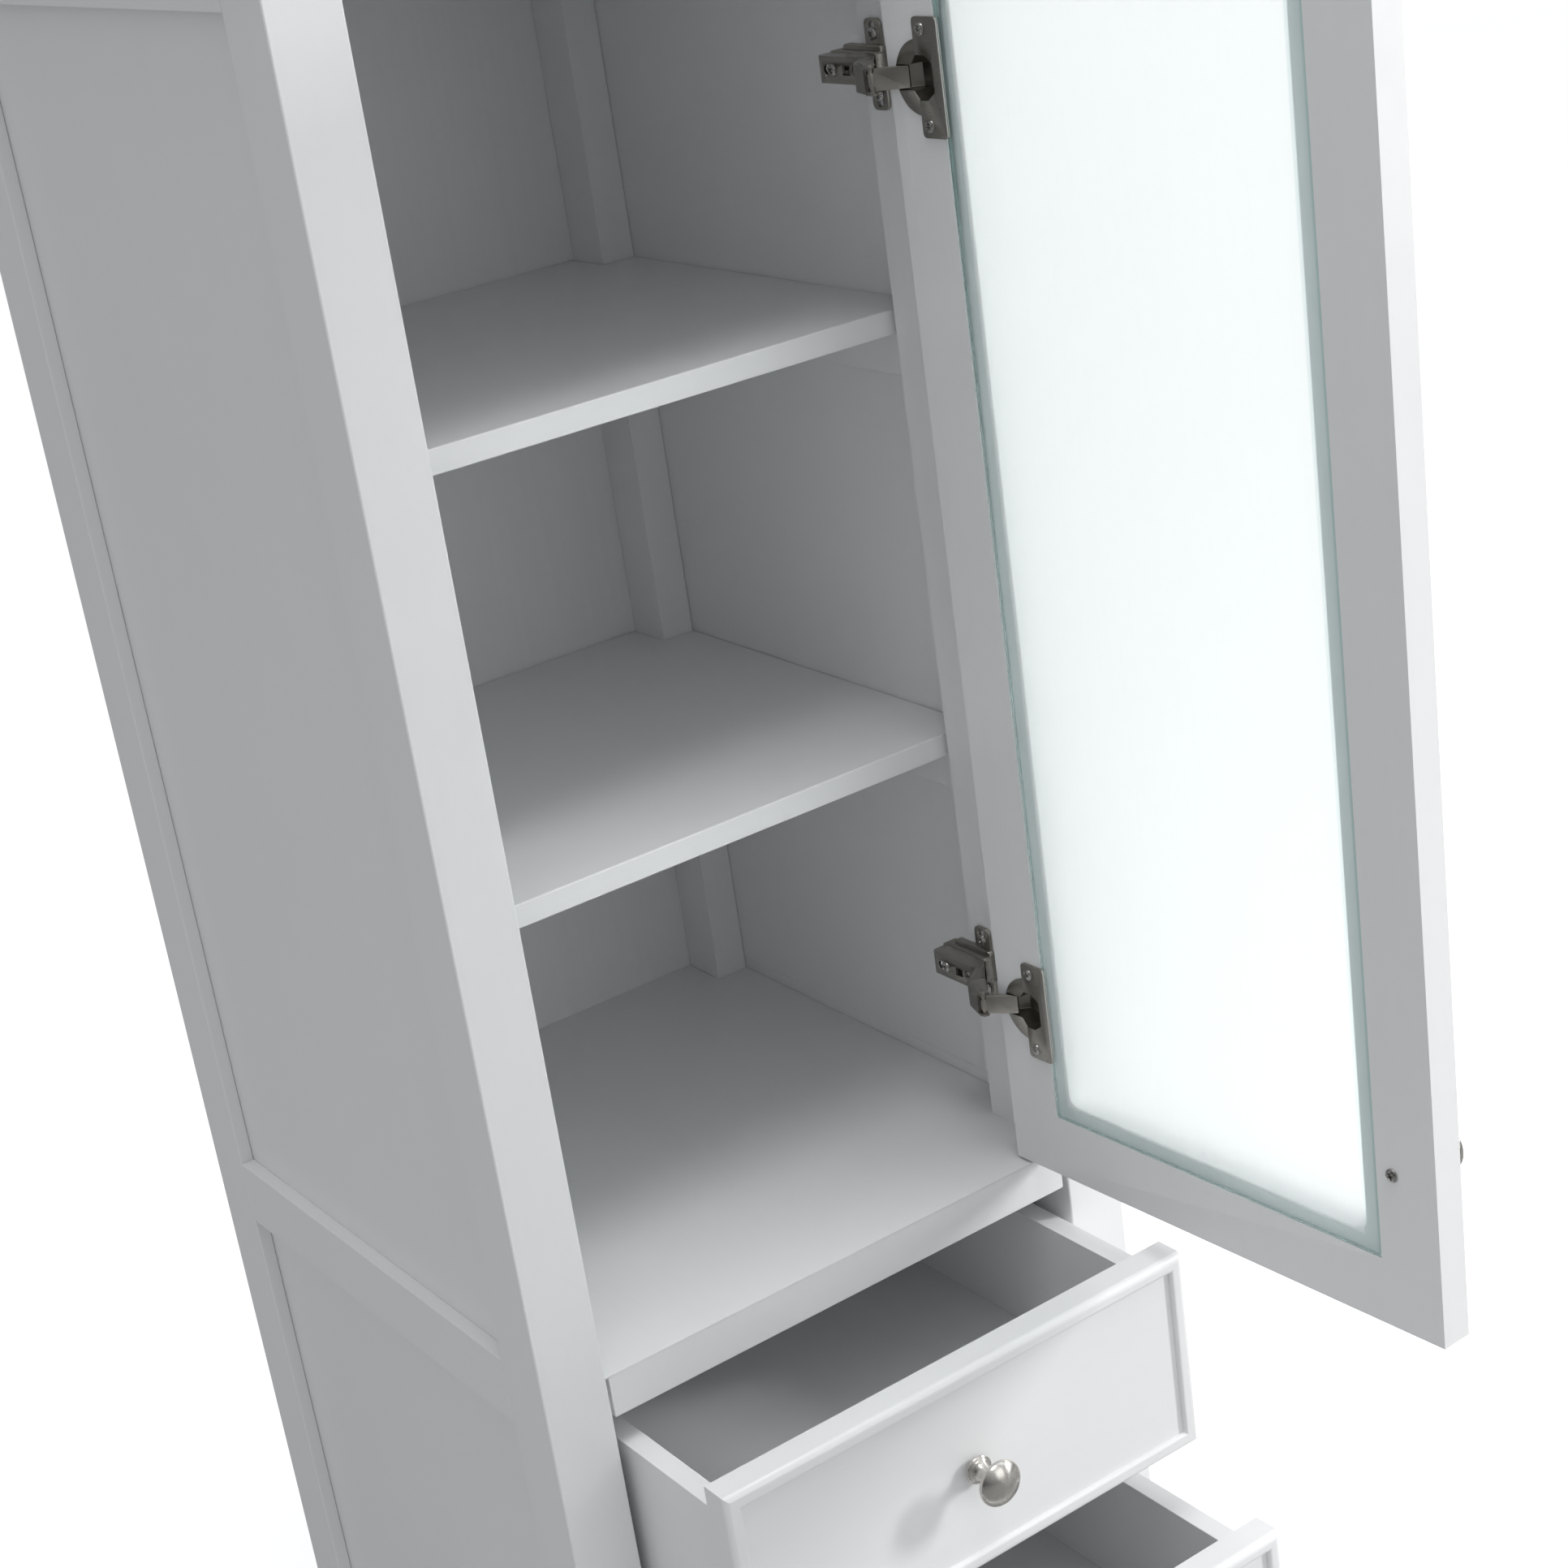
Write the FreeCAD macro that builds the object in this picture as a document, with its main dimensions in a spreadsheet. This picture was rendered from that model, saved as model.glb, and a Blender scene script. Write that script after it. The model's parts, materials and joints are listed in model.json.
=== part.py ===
import FreeCAD, Part
import math
import os
import re
import Sketcher

# Free-standing storage cabinet: four square posts, panelled sides, a glazed door hung on
# two concealed hinges over two drawers on undermount slides. Millimetres. The origin is
# on the floor under the middle of the carcass, +Z up, the front faces -Y.

doc = FreeCAD.newDocument("cabinet")
sheet = doc.addObject("Spreadsheet::Sheet", "dims")
sheet.Label = "dims"

VALUES = [
    # carcass
    ("cab_w", 412.0), ("cab_d", 412.0), ("post_w", 40.0), ("post_d", 42.0),
    ("foot_z", 96.0), ("deck_z", 450.0), ("deck_t", 27.0), ("opening_h", 749.0),
    ("rail_h", 27.0), ("rail_d", 40.0), ("front_set", 2.0), ("top_t", 18.0), ("top_over", 8.0),
    ("notch_w", 2.6), ("notch_d", 4.0), ("notch_under", 1.6),
    ("top_round", 3.0), ("side_t", 16.0), ("panel_t", 7.0), ("groove", 6.0),
    ("side_rail_h", 41.0), ("back_t", 5.0), ("back_in", 5.5), ("back_lap", 10.0),
    ("strip_d", 26.0), ("top_rail_d", 20.0),
    # shelves
    ("shelf_t", 14.0), ("shelf_1_up", 253.2), ("shelf_2_up", 506.7), ("shelf_back", 71.0),
    ("shelf_gap", 0.5), ("shelf_play", 1.0), ("cleat_t", 12.0), ("cleat_h", 28.0),
    # door
    ("door_t", 19.0), ("door_gap", 3.0), ("door_low", 2.0), ("glass_edge", 39.7),
    ("lip_edge", 50.4), ("lip_round", 8.0), ("glass_t", 4.0), ("glass_play", 0.3),
    ("door_angle", 92.46), ("pivot_x", 154.9), ("pivot_y", -201.3),
    ("knob_in", 29.0), ("door_knob_up", 95.3),
    # hinges
    ("hinge_1_up", 108.6), ("hinge_2_up", 641.0), ("cup_in", 23.3), ("cup_r", 16.0),
    ("cup_depth", 12.0), ("cup_wall", 0.8), ("fit", 0.1), ("flange_in", 24.0),
    ("flange_out", 43.0), ("flange_half", 30.5), ("flange_t", 1.8), ("flange_disc_r", 19.5),
    ("flange_disc_in", 26.5), ("cup_screw_in", 29.9), ("cup_screw_up", 24.3),
    ("plate_t", 2.0), ("plate_half", 24.0), ("plate_y", -158.5), ("plate_l", 13.5),
    ("plate_screw_y", -151.5), ("plate_screw_up", 16.0), ("block_y", -160.5),
    ("block_l", 40.0), ("block_half", 8.0), ("arm_under_x", 157.5), ("arm_top_x", 146.5),
    ("arm_half", 7.2), ("arm_wall", 1.5), ("arm_pin_x", 129.0), ("arm_pin_y", -193.0),
    ("pin_r", 1.24), ("pin_hole_r", 1.3), ("link_half", 5.4), ("tip_x", 141.8),
    ("tip_y", -208.7), ("link_thick", 2.8), ("arm_screw_y", -136.0), ("arm_screw_2_y", -157.0),
    # drawers
    ("pitch", 163.5), ("front_h", 130.5), ("front_t", 20.0), ("bead_w", 10.0),
    ("bead_drop", 3.0), ("bead_outer", 4.5), ("bead_inner", 2.8), ("box_w", 319.5), ("box_side", 13.0),
    ("box_drop", 17.0), ("box_rise", 13.0), ("box_l", 336.0), ("floor_t", 6.0),
    ("floor_rise", 12.5), ("drawer_1_open", 103.0), ("drawer_2_open", 167.0),
    ("batten_h", 30.0), ("batten_drop", 27.5),
    # undermount slides
    ("steel_t", 1.2), ("rail_len", 310.0), ("rail_y", -160.0), ("web_x", 166.0),
    ("web_h", 16.0), ("tray_drop", 15.2), ("rail_out", 142.0), ("rail_in", 122.0),
    ("rail_wall", 7.0), ("mid_clear", 1.0), ("mid_up", 0.4), ("mid_h", 13.0), ("cap_out", 145.0),
    ("cap_in", 119.0), ("cap_h", 10.5),
]
for row, (name, value) in enumerate(VALUES, start=1):
    sheet.set("A%d" % row, name)
    sheet.set("B%d" % row, repr(value))
    sheet.setAlias("B%d" % row, name)
doc.recompute()
V = dict(VALUES)
ALIASES = set(V)
nodes = {}
serial = 0


def bound(text):
    """The text with every dimension name pointed at the sheet."""
    swap = lambda m: "dims." + m.group(0) if m.group(0) in ALIASES else m.group(0)
    return re.sub(r"[A-Za-z_][A-Za-z_0-9]*", swap, text)


def fresh(kind, stem="s"):
    global serial
    serial += 1
    return doc.addObject(kind, "%s_%03d" % (stem, serial))


def tie(obj, **props):
    for prop, text in props.items():
        obj.setExpression(prop.replace("__", "."), bound(text))
    return obj


def box(x0, x1, y0, y1, z0, z1):
    """A block between two corners, each coordinate an expression."""
    b = fresh("Part::Box", "box")
    tie(b, Length="(%s)-(%s)" % (x1, x0), Width="(%s)-(%s)" % (y1, y0),
        Height="(%s)-(%s)" % (z1, z0))
    return tie(b, Placement__Base__x=x0, Placement__Base__y=y0, Placement__Base__z=z0)


TURN = {"x": FreeCAD.Rotation(FreeCAD.Vector(0, 1, 0), 90),
        "y": FreeCAD.Rotation(FreeCAD.Vector(1, 0, 0), -90),
        "z": FreeCAD.Rotation()}


def rod(axis, x, y, z, r, length):
    """A cylinder that starts at x, y, z and runs along +axis."""
    c = fresh("Part::Cylinder", "rod")
    c.Placement = FreeCAD.Placement(FreeCAD.Vector(), TURN[axis])
    tie(c, Radius=r, Height=length)
    return tie(c, Placement__Base__x=x, Placement__Base__y=y, Placement__Base__z=z)


def join(*parts):
    f = fresh("Part::MultiFuse", "join")
    f.Shapes = list(parts)
    return f


def cut(base, *tools):
    c = fresh("Part::Cut", "cut")
    c.Base = base
    c.Tool = tools[0] if len(tools) == 1 else join(*tools)
    return c


def group(*parts):
    g = fresh("Part::Compound", "set")
    g.Links = list(parts)
    return g


def rounded(base, radius, wanted):
    """The base with every edge that wanted() picks rounded to the radius."""
    doc.recompute()
    picks = [i for i, e in enumerate(base.Shape.Edges, start=1) if wanted(e)]
    f = fresh("Part::Fillet", "round")
    f.Base = base
    f.Edges = [(i, V[radius], V[radius]) for i in picks]
    return f


def flat(edge, axis, at):
    """Whether an edge lies in the plane axis = at."""
    reach = edge.BoundBox
    low, high = {"x": (reach.XMin, reach.XMax), "y": (reach.YMin, reach.YMax),
                 "z": (reach.ZMin, reach.ZMax)}[axis]
    return abs(low - at) < 1e-3 and abs(high - at) < 1e-3


def along(edge, axis):
    size = {"x": edge.BoundBox.XLength, "y": edge.BoundBox.YLength, "z": edge.BoundBox.ZLength}
    return size[axis] > 1.0 and max(v for k, v in size.items() if k != axis) < 1e-3


def plane_of(body, role):
    return [f for f in body.Origin.OriginFeatures if f.Role == role][0]


def outline(body, points, role="XY_Plane"):
    """A closed sketch through the points on one of the body's own planes."""
    sketch = body.newObject("Sketcher::SketchObject", "sketch_%s" % body.Name)
    sketch.AttachmentSupport = [(plane_of(body, role), "")]
    sketch.MapMode = "FlatFace"
    count = len(points)
    for i in range(count):
        a, b = points[i], points[(i + 1) % count]
        sketch.addGeometry(Part.LineSegment(FreeCAD.Vector(a[0], a[1], 0),
                                            FreeCAD.Vector(b[0], b[1], 0)), False)
    for i in range(count):
        sketch.addConstraint(Sketcher.Constraint("Coincident", i, 2, (i + 1) % count, 1))
    return sketch


def prism(points, low, high):
    """A body with an XY outline, padded from z = low to z = high."""
    body = fresh("PartDesign::Body", "body")
    sketch = outline(body, points)
    tie(sketch, AttachmentOffset__Base__z=low)
    pad = body.newObject("PartDesign::Pad", "pad_%s" % body.Name)
    pad.Profile = sketch
    tie(pad, Length="(%s)-(%s)" % (high, low))
    return body


def turned(profile):
    """A body turned about its own Y axis from (radius, y) points."""
    body = fresh("PartDesign::Body", "body")
    sketch = outline(body, profile)
    turn = body.newObject("PartDesign::Revolution", "turn_%s" % body.Name)
    turn.Profile = sketch
    turn.ReferenceAxis = (sketch, ["V_Axis"])
    turn.Angle = 360.0
    return body


def node(name, obj, slide=None, swing=False):
    """Name a finished sub-part, and put it where it stands at rest."""
    if obj.TypeId == "Part::Box" and (slide or swing):
        obj = group(obj)    # a box's own placement is bound to its corner
    if slide:
        tie(obj, Placement__Base__y="-(%s)" % slide)
    if swing:
        turn = FreeCAD.Rotation(FreeCAD.Vector(0, 0, 1), V["door_angle"])
        pivot = FreeCAD.Vector(V["pivot_x"], V["pivot_y"], 0)
        obj.Placement = FreeCAD.Placement(pivot - turn.multVec(pivot), turn)
    obj.Label = name
    nodes[name] = obj
    return obj


HW, HD = "cab_w/2", "cab_d/2"
IN_X = "(cab_w/2-post_w)"              # inner face of the posts
WALL_X = "(cab_w/2-side_t)"            # inner face of the side frames
PANEL_X = "(cab_w/2-side_t+panel_t)"   # outer face of the side panels
FRONT_IN = "(post_d-cab_d/2)"          # rear face of the front posts
REAR_IN = "(cab_d/2-post_d)"           # front face of the rear posts
BACK_Y = "(cab_d/2-back_in)"           # front face of the back panel
CARCASS_Z = "(deck_z+opening_h+rail_h)"
MID_TOP = "(deck_z-deck_t+side_rail_h)"
MID_LOW = "(deck_z-deck_t)"
LOW_TOP = "(foot_z+side_rail_h)"
HIGH_LOW = "(%s-side_rail_h)" % CARCASS_Z
DECK_FRONT = "(front_set-cab_d/2)"


def sided(side, x0, x1, y0, y1, z0, z1):
    """A block given for the right side, mirrored in X for the left one."""
    if side == "right":
        return box(x0, x1, y0, y1, z0, z1)
    return box("-(%s)" % x1, "-(%s)" % x0, y0, y1, z0, z1)


# --- posts -------------------------------------------------------------------------
for side in ("left", "right"):
    blank = sided(side, IN_X, HW, "-(%s)" % HD, FRONT_IN, "0", CARCASS_Z)
    slot = sided(side, WALL_X, PANEL_X, "%s-groove" % FRONT_IN, "%s+1" % FRONT_IN,
                 "foot_z", CARCASS_Z + "+1")
    node("post_front_" + side, cut(blank, slot))
    blank = sided(side, IN_X, HW, REAR_IN, HD, "0", CARCASS_Z)
    slot = sided(side, WALL_X, PANEL_X, "%s-1" % REAR_IN, "%s+groove" % REAR_IN,
                 "foot_z", CARCASS_Z + "+1")
    rebate = sided(side, "%s-1" % IN_X, "%s+back_lap" % IN_X, BACK_Y, "%s+1" % HD,
                   "foot_z", CARCASS_Z + "+1")
    node("post_rear_" + side, cut(blank, slot, rebate))


# --- side frames ---------------------------------------------------------------------
def side_rail(side, low, high, above, below):
    """A rail between the posts, tongued into their grooves, rebated for its panels."""
    bar = sided(side, WALL_X, HW, FRONT_IN, REAR_IN, low, high)
    tongue = sided(side, WALL_X, PANEL_X, "%s-groove" % FRONT_IN, "%s+groove" % REAR_IN,
                   low, high)
    cuts = []
    if above:
        cuts.append(sided(side, "%s-1" % WALL_X, PANEL_X, "-%s" % HD, HD,
                          "%s-groove" % high, "%s+1" % high))
    if below:
        cuts.append(sided(side, "%s-1" % WALL_X, PANEL_X, "-%s" % HD, HD,
                          "%s-1" % low, "%s+groove" % low))
    return cut(join(bar, tongue), *cuts)


for name, low, high, above, below in (
        ("side_rails_bottom", "foot_z", LOW_TOP, True, False),
        ("side_rails_middle", MID_LOW, MID_TOP, True, True),
        ("side_rails_top", HIGH_LOW, CARCASS_Z, False, True)):
    node(name, group(*[side_rail(s, low, high, above, below) for s in ("left", "right")]))

for side in ("left", "right"):
    for name, low, high in (("lower", LOW_TOP, MID_LOW), ("upper", MID_TOP, HIGH_LOW)):
        node("side_panel_%s_%s" % (name, side),
             sided(side, WALL_X, PANEL_X, "%s-groove" % FRONT_IN, "%s+groove" % REAR_IN,
                   "%s-groove" % low, "%s+groove" % high))

# --- back, deck, top and front rails ---------------------------------------------------
node("back_panel", box("-(%s+back_lap)" % IN_X, "%s+back_lap" % IN_X, BACK_Y,
                       "%s+back_t" % BACK_Y, "foot_z", CARCASS_Z))
notches = [box(low, high, DECK_FRONT + "-1", DECK_FRONT + "+notch_d", MID_LOW + "-1",
               "deck_z-notch_under")
           for low, high in (("-%s-1" % IN_X, "notch_w-%s" % IN_X),
                             (IN_X + "-notch_w", IN_X + "+1"))]
node("deck", cut(join(
    box("-%s" % IN_X, IN_X, DECK_FRONT, BACK_Y, MID_LOW, "deck_z"),
    box("-%s" % WALL_X, WALL_X, FRONT_IN, REAR_IN, MID_LOW, "deck_z")), *notches))
node("top_rail", box("-%s" % IN_X, IN_X, DECK_FRONT, DECK_FRONT + "+top_rail_d",
                     "deck_z+opening_h", CARCASS_Z))
slab = box("-(cab_w/2+top_over)", "cab_w/2+top_over", "-(cab_d/2+top_over)", HD,
           CARCASS_Z, "%s+top_t" % CARCASS_Z)
rear_y = V["cab_d"] / 2
node("top_board", rounded(slab, "top_round", lambda e: not flat(e, "y", rear_y)
                          and not along(e, "z")))
node("drawer_rail", box("-%s" % IN_X, IN_X, DECK_FRONT, DECK_FRONT + "+rail_d",
                        "deck_z-pitch-deck_t", "deck_z-pitch"))
node("bottom_rail", box("-%s" % IN_X, IN_X, DECK_FRONT, DECK_FRONT + "+rail_d",
                        "foot_z", "deck_z-2*pitch"))

# --- hinge strip behind the right front post ---------------------------------------------
HINGES = (("lower", "deck_z+hinge_1_up"), ("upper", "deck_z+hinge_2_up"))
strip = box(IN_X, WALL_X, FRONT_IN, FRONT_IN + "+strip_d", "deck_z", CARCASS_Z)
pilots = [rod("x", IN_X + "-1", "plate_screw_y", "%s%splate_screw_up" % (z, s), "1.8+fit",
              "13.5")
          for _, z in HINGES for s in "+-"]
node("hinge_strip", cut(strip, *pilots))

# --- shelves on cleats --------------------------------------------------------------------
SHELF_FRONT = "(shelf_back-cab_d/2)"
for name, up in (("shelf_lower", "shelf_1_up"), ("shelf_upper", "shelf_2_up")):
    low, high = "deck_z+%s-shelf_t" % up, "deck_z+%s" % up
    board = box("-(%s-shelf_gap)" % WALL_X, "%s-shelf_gap" % WALL_X, SHELF_FRONT,
                "%s-shelf_play" % BACK_Y, low, high)
    corners = [sided(s, IN_X + "-shelf_gap", HW, REAR_IN + "-shelf_gap", HD,
                     low + "-1", high + "+1") for s in ("left", "right")]
    node(name, cut(board, *corners))
cleats = []
for up in ("shelf_1_up", "shelf_2_up"):
    for side in ("left", "right"):
        cleats.append(sided(side, WALL_X + "-cleat_t", WALL_X, SHELF_FRONT, REAR_IN,
                            "deck_z+%s-shelf_t-cleat_h" % up, "deck_z+%s-shelf_t" % up))
node("shelf_cleats", group(*cleats))

# --- door: one routed frame with a pane in its rear rebate -------------------------------------
DOOR_X = "(cab_w/2-post_w-door_gap)"
DOOR_F, DOOR_B = "(-cab_d/2)", "(door_t-cab_d/2)"
DOOR_LOW, DOOR_TOP = "(deck_z+door_low)", "(deck_z+opening_h-door_gap)"
leaf = box("-" + DOOR_X, DOOR_X, DOOR_F, DOOR_B, DOOR_LOW, DOOR_TOP)
light = box("lip_edge-%s" % DOOR_X, "%s-lip_edge" % DOOR_X, "%s-5" % DOOR_F,
            "%s+5" % DOOR_B, "%s+lip_edge" % DOOR_LOW, "%s-lip_edge" % DOOR_TOP)
light = rounded(light, "lip_round", lambda e: along(e, "y"))
seat = box("glass_edge-%s" % DOOR_X, "%s-glass_edge" % DOOR_X, "%s-glass_t" % DOOR_B,
           "%s+5" % DOOR_B, "%s+glass_edge" % DOOR_LOW, "%s-glass_edge" % DOOR_TOP)
CUP_X = "(%s-cup_in)" % DOOR_X
CUP_SCREW_X = "(%s-cup_screw_in)" % DOOR_X
KNOB_X, DOOR_KNOB_Z = "(knob_in-%s)" % DOOR_X, "(deck_z+door_knob_up)"
holes = [rod("y", CUP_X, "%s-cup_depth-0.2" % DOOR_B, z, "cup_r+fit", "cup_depth+1")
         for _, z in HINGES]
for _, z in HINGES:
    for s in "+-":
        holes.append(rod("y", CUP_SCREW_X, "%s-12" % DOOR_B, "%s%scup_screw_up" % (z, s),
                         "1.6+fit", "13"))
holes.append(rod("y", KNOB_X, "%s-1" % DOOR_F, DOOR_KNOB_Z, "2.2", "door_t+2"))
node("door_frame", cut(leaf, light, seat, *holes), swing=True)
node("door_glass", box("glass_edge+glass_play-%s" % DOOR_X, "%s-glass_edge-glass_play" % DOOR_X,
                       "%s-glass_t" % DOOR_B, DOOR_B, "%s+glass_edge+glass_play" % DOOR_LOW,
                       "%s-glass_edge-glass_play" % DOOR_TOP), swing=True)

# --- hinge cups: sunk cup, flange and the mouth that the arm's nose folds into ------------------
door_half = V["cab_w"] / 2 - V["post_w"] - V["door_gap"]
MOUTH = [(8.2, -6.6), (20.0, -6.6), (24.0, -11.4), (31.0, -11.4), (36.6, -7.4),
         (36.6, 7.4), (31.0, 11.4), (24.0, 11.4), (20.0, 6.6), (8.2, 6.6)]


def mouth(z):
    """The opening in the flange, an outline across the door's thickness."""
    body = fresh("PartDesign::Body", "body")
    sketch = outline(body, [(door_half - u, v) for u, v in MOUTH], "XZ_Plane")
    pad = body.newObject("PartDesign::Pad", "pad_%s" % body.Name)
    pad.Profile = sketch
    pad.Length = 12.0
    pad.Midplane = True
    return tie(body, Placement__Base__y=DOOR_B, Placement__Base__z=z)


def cup(z):
    """One sunk cup with its D-shaped flange."""
    shell = rod("y", CUP_X, "%s-cup_depth" % DOOR_B, z, "cup_r", "cup_depth")
    disc = rod("y", "%s-flange_disc_in" % DOOR_X, DOOR_B, z, "flange_disc_r", "flange_t")
    bar = box("%s-flange_out" % DOOR_X, "%s-flange_in" % DOOR_X, DOOR_B,
              "%s+flange_t" % DOOR_B, "%s-flange_half" % z, "%s+flange_half" % z)
    inside = rod("y", CUP_X, "%s-cup_depth+cup_wall" % DOOR_B, z, "cup_r-cup_wall",
                 "cup_depth-cup_wall")
    screw_holes = [rod("y", CUP_SCREW_X, "%s-1" % DOOR_B, "%s%scup_screw_up" % (z, s),
                       "1.6+fit", "5") for s in "+-"]
    return cut(join(cut(shell, inside), disc, bar), mouth(z), *screw_holes)


def wood_screw(axis, x, y, z, head_r, head_t, shank_r, length):
    """A pan-head screw: the head outside the surface, the shank going in."""
    if axis == "y":
        head = rod("y", x, y, z, head_r, head_t)
        shank = rod("y", x, "%s-(%s)" % (y, length), z, shank_r, "%s+0.5" % length)
    else:
        head = rod("x", "%s-%s" % (x, head_t), y, z, head_r, head_t)
        shank = rod("x", "%s-0.5" % x, y, z, shank_r, "%s+0.5" % length)
    return join(head, shank)


cup_screws = []
for name, z in HINGES:
    node("hinge_cup_" + name, cup(z), swing=True)
    for s in "+-":
        cup_screws.append(wood_screw("y", CUP_SCREW_X, "%s+flange_t" % DOOR_B,
                                     "%s%scup_screw_up" % (z, s), "3.4", "1.2", "1.6",
                                     "12"))
node("hinge_cup_screws", group(*cup_screws), swing=True)

# --- hinge plates, arms, links and their screws on the cabinet side ------------------------------
PIN = (V["arm_pin_x"], V["arm_pin_y"])
TIP = (V["tip_x"], V["tip_y"])
ARM = [(146.5, -123.0), (146.5, -162.5), (131.5, -175.0), (126.7, -190.5), (126.7, -194.0),
       (128.2, -195.4), (130.4, -195.0), (131.8, -192.0), (157.5, -160.0), (157.5, -123.0)]
HOLLOW = [(148.0, -122.0), (148.0, -163.3), (133.0, -175.8), (128.4, -190.0), (124.0, -190.0),
          (124.0, -198.0), (133.2, -198.0), (133.2, -192.5), (160.0, -158.0),
          (160.0, -122.0)]


def bar_outline(a, b, half, nose):
    """A straight bar's outline from a to b, with a pointed-off far end."""
    length = math.hypot(b[0] - a[0], b[1] - a[1])
    ux, uy = (b[0] - a[0]) / length, (b[1] - a[1]) / length
    at = lambda t, w: (a[0] + ux * t - uy * w, a[1] + uy * t + ux * w)
    return [at(-nose, half * 0.6), at(-nose, -half * 0.6), at(-0.4 * nose, -half),
            at(length, -half), at(length + 1.0, -half * 0.4), at(length + 1.0, half * 0.4),
            at(length, half), at(-0.4 * nose, half)]


plate_screws = []
arm_screws = []
for name, z in HINGES:
    wing = box(IN_X + "-plate_t", IN_X, "plate_y", "plate_y+plate_l", z + "-plate_half",
               z + "+plate_half")
    wing = rounded(wing, "top_round", lambda e: along(e, "x"))
    block = box("arm_under_x", IN_X, "block_y", "block_y+block_l", z + "-block_half",
                z + "+block_half")
    drilled = [rod("x", IN_X + "-4", "plate_screw_y", "%s%splate_screw_up" % (z, s),
                   "1.8+fit", "6") for s in "+-"]
    taps = [rod("x", "arm_under_x-1", y, z, "2.0+fit", "6")
            for y in ("arm_screw_y", "arm_screw_2_y")]
    node("hinge_plate_" + name, cut(join(wing, block), *drilled, *taps))
    body = prism(ARM, z + "-arm_half", z + "+arm_half")
    hollow = prism(HOLLOW, z + "-arm_half+arm_wall", z + "+arm_half-arm_wall")
    pin_hole = rod("z", "arm_pin_x", "arm_pin_y", z + "-10", "pin_hole_r", "20")
    through = [rod("x", "arm_top_x-2", y, z, "2.0+fit", "5")
               for y in ("arm_screw_y", "arm_screw_2_y")]
    node("hinge_arm_" + name, cut(body, hollow, pin_hole, *through))
    web = prism(bar_outline(PIN, TIP, V["link_thick"] / 2, 2.1), z + "-link_half", z + "+link_half")
    pin = rod("z", "arm_pin_x", "arm_pin_y", z + "-arm_half", "pin_r", "2*arm_half")
    node("hinge_link_" + name, join(web, pin))
    for s in "+-":
        plate_screws.append(wood_screw("x", IN_X + "-plate_t", "plate_screw_y",
                                       "%s%splate_screw_up" % (z, s), "3.5", "1.3", "1.8",
                                       "12"))
    for y in ("arm_screw_y", "arm_screw_2_y"):
        arm_screws.append(wood_screw("x", "arm_top_x", y, z, "3.4", "1.6", "2.0", "14"))
node("hinge_plate_screws", group(*plate_screws))
node("hinge_arm_screws", group(*arm_screws))

# --- knobs --------------------------------------------------------------------------------------
# (radius, distance forward) from the mounting face to the crown of the cap
KNOB = [(0.0, 0.0), (8.6, 0.0), (8.7, 1.3), (7.9, 2.4), (6.9, 2.9), (6.5, 4.0), (5.2, 6.2),
        (4.5, 8.8), (4.8, 11.4), (6.3, 13.5), (9.9, 15.0), (12.9, 16.5), (14.0, 18.4),
        (13.7, 20.3), (11.6, 22.7), (8.2, 24.6), (4.2, 25.6), (0.0, 25.8)]


def knob(x, face_y, z):
    """A mushroom knob whose foot sits on the face at face_y."""
    body = turned([(r, -f) for r, f in KNOB])
    tie(body, Placement__Base__x=x, Placement__Base__y=face_y, Placement__Base__z=z)
    return cut(body, rod("y", x, "%s-9" % face_y, z, "2.0+fit", "10"))


def machine_screw(x, back_y, z, grip):
    """The knob's screw: a flat pan head on the inner face, the shank through to the knob."""
    head = rod("y", x, back_y, z, "4.0", "1.8")
    shank = rod("y", x, "%s-%s-8" % (back_y, grip), z, "2.0", "%s+8.5" % grip)
    return join(head, shank)


node("door_knob", knob(KNOB_X, DOOR_F, DOOR_KNOB_Z), swing=True)
node("door_knob_screw", machine_screw(KNOB_X, DOOR_B, DOOR_KNOB_Z, "door_t"), swing=True)

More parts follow.
